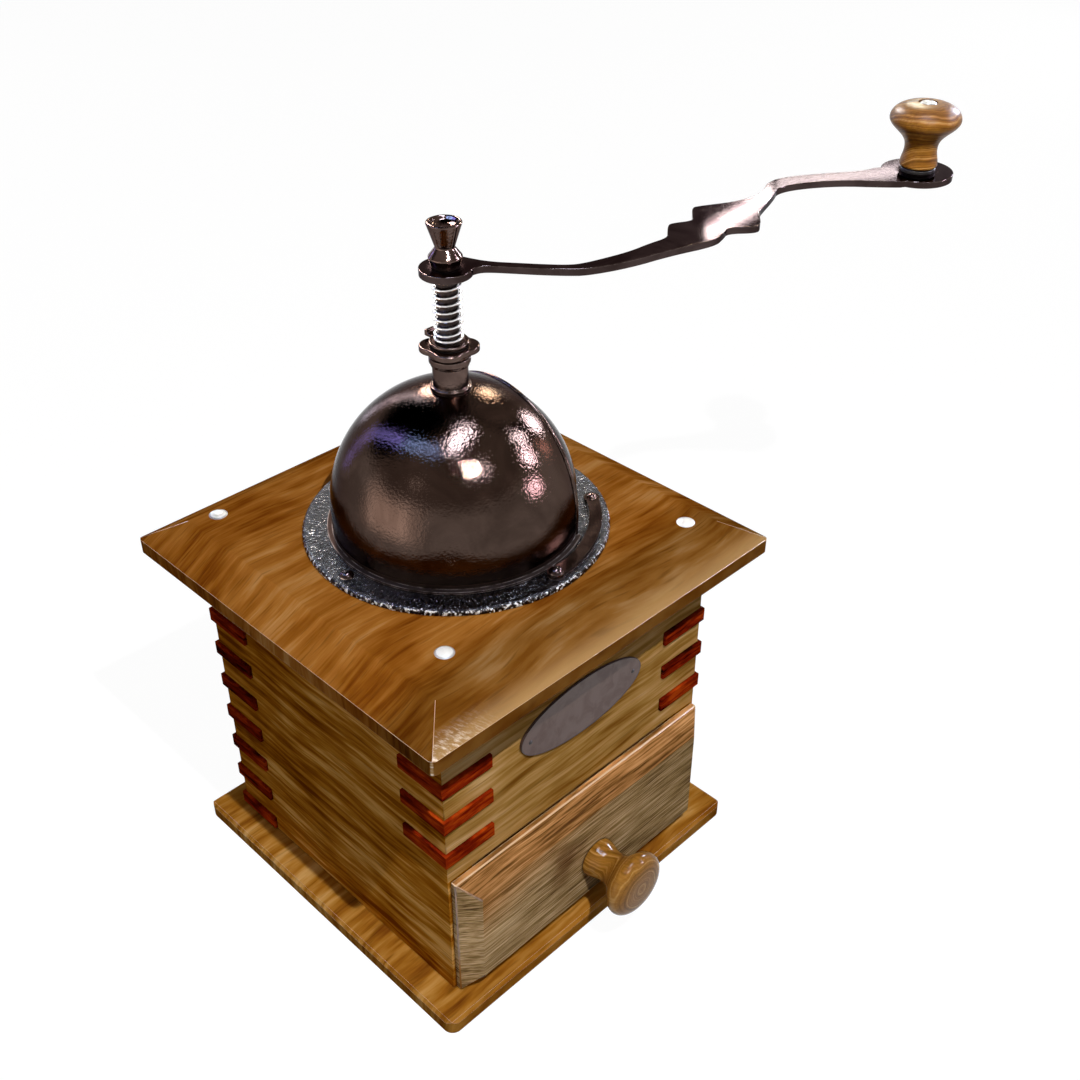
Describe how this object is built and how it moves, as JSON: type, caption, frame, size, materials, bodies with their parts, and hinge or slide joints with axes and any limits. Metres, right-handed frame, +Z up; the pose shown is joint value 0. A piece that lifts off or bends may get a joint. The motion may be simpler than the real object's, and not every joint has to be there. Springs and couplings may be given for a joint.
{
  "type": "box coffee mill",
  "caption": "Wooden box coffee mill with a splined case, a drawer, a domed metal hood with a turning door, and a hand crank on a sprung spindle.",
  "frame": {"origin": "in the middle of the case, on the underside of the base board", "axes": "+Z up along the spindle, the drawer faces -Y, +X to the right seen from the drawer"},
  "size_m": [0.2747, 0.1755, 0.2698],
  "materials": {
    "honey_wood": "golden brown, streaky grain, satin varnish",
    "panel_wood": "olive brown, streaky grain, satin varnish",
    "front_wood": "grey beige, streaky grain, satin varnish",
    "drawer_wood": "plain pale wood, unvarnished",
    "red_wood": "dark red orange wood, varnished",
    "turned_wood": "turned, ring grain, glossy varnish",
    "pale_caps": "off-white, glossy, domed",
    "name_plate_metal": "browned metal with a dark rim, bare",
    "bronzed_steel": "dark bronze brown, glossy, mottled by wear",
    "black_iron": "black, rough, with worn silvery edges",
    "burr_steel": "machined steel",
    "bright_nickel": "bright nickel plate"
  },
  "bodies": {
    "case": {"base_board": "honey_wood", "side_panel_left": "panel_wood", "side_panel_right": "panel_wood", "back_panel": "panel_wood", "front_panel": "front_wood", "splines_back_left": "red_wood", "splines_back_right": "red_wood", "splines_front_left": "red_wood", "splines_front_right": "red_wood", "divider_board": "panel_wood", "drawer_stops": "panel_wood", "top_board": "honey_wood", "top_pins": "pale_caps", "base_screws": "burr_steel", "name_plate": "name_plate_metal", "name_plate_pins": "bronzed_steel", "hopper_bowl": "black_iron", "flange_plate": "black_iron", "flange_screws": "bronzed_steel", "hood": "bronzed_steel", "hood_clamps": "bronzed_steel", "clamp_rivets": "bronzed_steel", "bearing_sleeve": "bronzed_steel", "sleeve_nut": "burr_steel", "burr_ring": "burr_steel", "lower_bridge": "black_iron", "bridge_screws": "burr_steel"},
    "door": {"hood_door": "bronzed_steel", "door_button": "bronzed_steel"},
    "adjuster": {"adjusting_nut": "bronzed_steel"},
    "lock": {"lock_plate": "bronzed_steel", "spring": "bright_nickel"},
    "spindle": {"spindle": "burr_steel", "burr_cone": "burr_steel", "cone_pin": "bright_nickel", "crank": "bronzed_steel", "top_nut": "bronzed_steel", "knob_washer": "black_iron", "knob_pin": "bright_nickel"},
    "knob": {"crank_knob": "turned_wood"},
    "drawer": {"drawer_front": "front_wood", "drawer_side_left": "drawer_wood", "drawer_side_right": "drawer_wood", "drawer_back": "drawer_wood", "drawer_bottom": "drawer_wood", "drawer_knob": "turned_wood", "drawer_knob_screw": "burr_steel"}
  },
  "joints": [
    {"name": "crank_spin", "type": "hinge", "parent": "case", "child": "lock", "pos_m": [0.0011, -0.0011, 0.216], "axis": [0, 0, 1], "continuous": true},
    {"name": "grind_set", "type": "hinge", "parent": "lock", "child": "adjuster", "pos_m": [0.0011, -0.0011, 0.218], "axis": [0, 0, 1], "range_deg": [-270, 0]},
    {"name": "spindle_lift", "type": "slide", "parent": "lock", "child": "spindle", "axis": [0, 0, 1], "range_m": [0, 0.0009375], "deforming": ["spring"]},
    {"name": "knob_spin", "type": "hinge", "parent": "spindle", "child": "knob", "pos_m": [0.18173, -0.05805, 0.258], "axis": [0, 0, 1], "continuous": true},
    {"name": "door_turn", "type": "hinge", "parent": "case", "child": "door", "pos_m": [0.0011, -0.0011, 0.16], "axis": [0, 0, 1], "range_deg": [-96, 0]},
    {"name": "drawer_slide", "type": "slide", "parent": "case", "child": "drawer", "axis": [0, -1, 0], "range_m": [0, 0.095]}
  ],
  "couplings": [
    {"joint": "grind_set", "follows": "spindle_lift", "rad_per_m": -5026.5}
  ]
}
